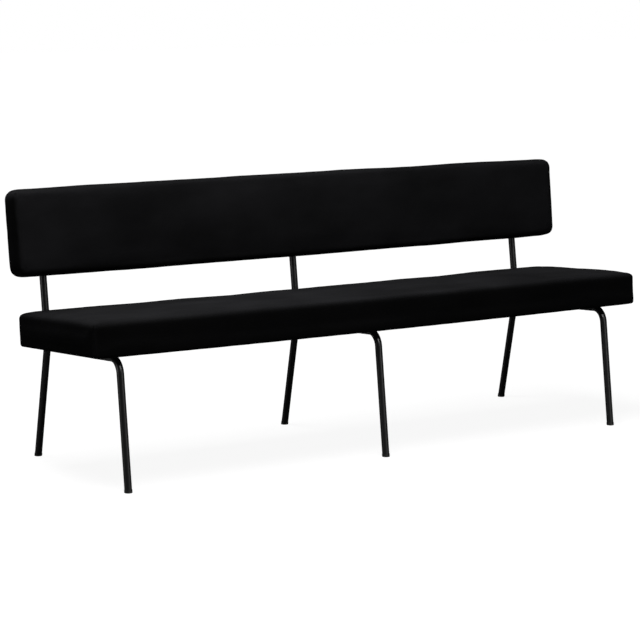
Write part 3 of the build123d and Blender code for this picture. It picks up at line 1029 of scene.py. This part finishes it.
class BENCH_OT_rear_panel(bpy.types.Operator):
    """Cover the backrest's rear panel with velvet, its hem turned in at the front"""

    bl_idname = "bench.rear_panel"
    bl_label = "Rear panel"

    def execute(self, context):
        sizes, sewing = settings("bench_sheets"), settings("bench_sewing")
        slab = Slab("backrest_rear_skin", "backrest_rear_skin", BACKREST_FACING)
        low, high = slab.low, slab.high
        whole = sheet_form(low, high, sizes.panel_radius, sizes.panel_fold, sewing.mesh_step)
        points, quads = opened(*whole)
        piece = new_piece("rear_panel_velvet", slab.place(points), quads)
        dents = as_shares(slow_waves(points, sewing.drift_span, sewing.seed + PANEL))
        push_out(piece, -sizes.panel_unevenness * dents)
        settle(piece, velvet_material(), "black_velvet", "backrest_rear_skin")
        return {"FINISHED"}


class BENCH_OT_dust_cloth(bpy.types.Operator):
    """Close the seat's underside with a thin cloth that sags a little between the rails"""

    bl_idname = "bench.dust_cloth"
    bl_label = "Dust cloth"

    def execute(self, context):
        sizes, sewing = settings("bench_sheets"), settings("bench_sewing")
        slab = Slab("seat_dust_cloth", "seat_dust_cloth", SEAT_FACING)
        low, high = slab.low, slab.high
        fold = (high[2] - low[2]) / 3
        points, quads, _ = sheet_form(low, high, sizes.cloth_radius, fold, sewing.mesh_step)
        across = 2 * (points[:, 1] - low[1]) / (high[1] - low[1]) - 1
        rails = [slab.span(f"{side}_front_tube") for side in FRAMES]
        slack = slack_between(points, low, high, rails, sizes.cloth_held)
        waves = slow_waves(points, sizes.cloth_span, sewing.seed + CLOTH)
        depth = slack * (1 - CLOTH_WAVE_SHARE + CLOTH_WAVE_SHARE * waves) * (1 - across**2)
        points[:, 2] -= sizes.cloth_sag * depth
        piece = new_piece("dust_cloth", slab.place(points), quads)
        settle(piece, cloth_material(), "black_nonwoven", "seat_dust_cloth")
        return {"FINISHED"}


class BENCH_OT_frames(bpy.types.Operator):
    """Powder coat the steel tubes and their welds"""

    bl_idname = "bench.frames"
    bl_label = "Steel frames"

    def execute(self, context):
        coat = coat_material("powder_coat", grain=700.0, depth=0.00006)
        weld = coat_material("coated_weld", grain=240.0, depth=0.0006)
        for side in FRAMES:
            dress(f"{side}_front_tube", coat)
            dress(f"{side}_rear_tube", coat)
            dress(f"{side}_weld_bead", weld)
        return {"FINISHED"}


class BENCH_OT_plastics(bpy.types.Operator):
    """Finish the glides, upright caps and saddle washers"""

    bl_idname = "bench.plastics"
    bl_label = "Plastic ends"

    def execute(self, context):
        plastic = plastic_material()
        for side in FRAMES:
            for piece in ("front_glide", "rear_glide", "upright_cap"):
                dress(f"{side}_{piece}", plastic)
        for part in CUSHIONS:
            dress(f"{part}_saddle_washers", plastic)
        return {"FINISHED"}


class BENCH_OT_hardware(bpy.types.Operator):
    """Finish the bolts, tee nuts and staples"""

    bl_idname = "bench.hardware"
    bl_label = "Bolts, tee nuts and staples"

    def execute(self, context):
        look = settings("bench_inside")
        black = steel_material("blacked_steel", look.black, look.black_worn, roughness=0.38, grain=1200.0)
        bright = steel_material("zinc", look.zinc, look.zinc_worn, roughness=0.35, grain=600.0)
        for part in CUSHIONS:
            dress(f"{part}_bolts", black)
            dress(f"{part}_tee_nuts", bright)
            dress(f"{part}_staples", bright)
        return {"FINISHED"}


class BENCH_OT_boards(bpy.types.Operator):
    """Finish the plywood boards and the rear panel's fibreboard"""

    bl_idname = "bench.boards"
    bl_label = "Boards"

    def execute(self, context):
        plywood = plywood_material()
        for node in ("seat_board", "backrest_board", "backrest_rear_board"):
            dress(node, plywood)
        return {"FINISHED"}


OPERATORS = (
    BENCH_OT_stage,
    BENCH_OT_seat,
    BENCH_OT_backrest,
    BENCH_OT_rear_panel,
    BENCH_OT_dust_cloth,
    BENCH_OT_frames,
    BENCH_OT_plastics,
    BENCH_OT_hardware,
    BENCH_OT_boards,
)


class BENCH_PT_panel(bpy.types.Panel):
    """The bench's pieces, in the sidebar"""

    bl_idname = "BENCH_PT_panel"
    bl_label = "Velvet bench"
    bl_space_type = "VIEW_3D"
    bl_region_type = "UI"
    bl_category = "Bench"

    def draw(self, context):
        for operator in OPERATORS:
            self.layout.operator(operator.bl_idname)


GROUPS = {
    "bench_seat": BenchSeat,
    "bench_backrest": BenchBackrest,
    "bench_sewing": BenchSewing,
    "bench_sheets": BenchSheets,
    "bench_velvet": BenchVelvet,
    "bench_coating": BenchCoating,
    "bench_inside": BenchInside,
    "bench_stage": BenchStage,
}


def register():
    """Registers the groups, operators and panel."""
    for name, group in GROUPS.items():
        bpy.utils.register_class(group)
        setattr(bpy.types.Scene, name, PointerProperty(type=group))
    for operator in OPERATORS:
        bpy.utils.register_class(operator)
    bpy.utils.register_class(BENCH_PT_panel)


def unregister():
    """Takes them away again."""
    bpy.utils.unregister_class(BENCH_PT_panel)
    for operator in reversed(OPERATORS):
        bpy.utils.unregister_class(operator)
    for name, group in reversed(GROUPS.items()):
        delattr(bpy.types.Scene, name)
        bpy.utils.unregister_class(group)


def main():
    """Builds every piece in order."""
    register()
    for operator in OPERATORS:
        group, name = operator.bl_idname.split(".")
        getattr(getattr(bpy.ops, group), name)()


if __name__ == "__main__":
    main()
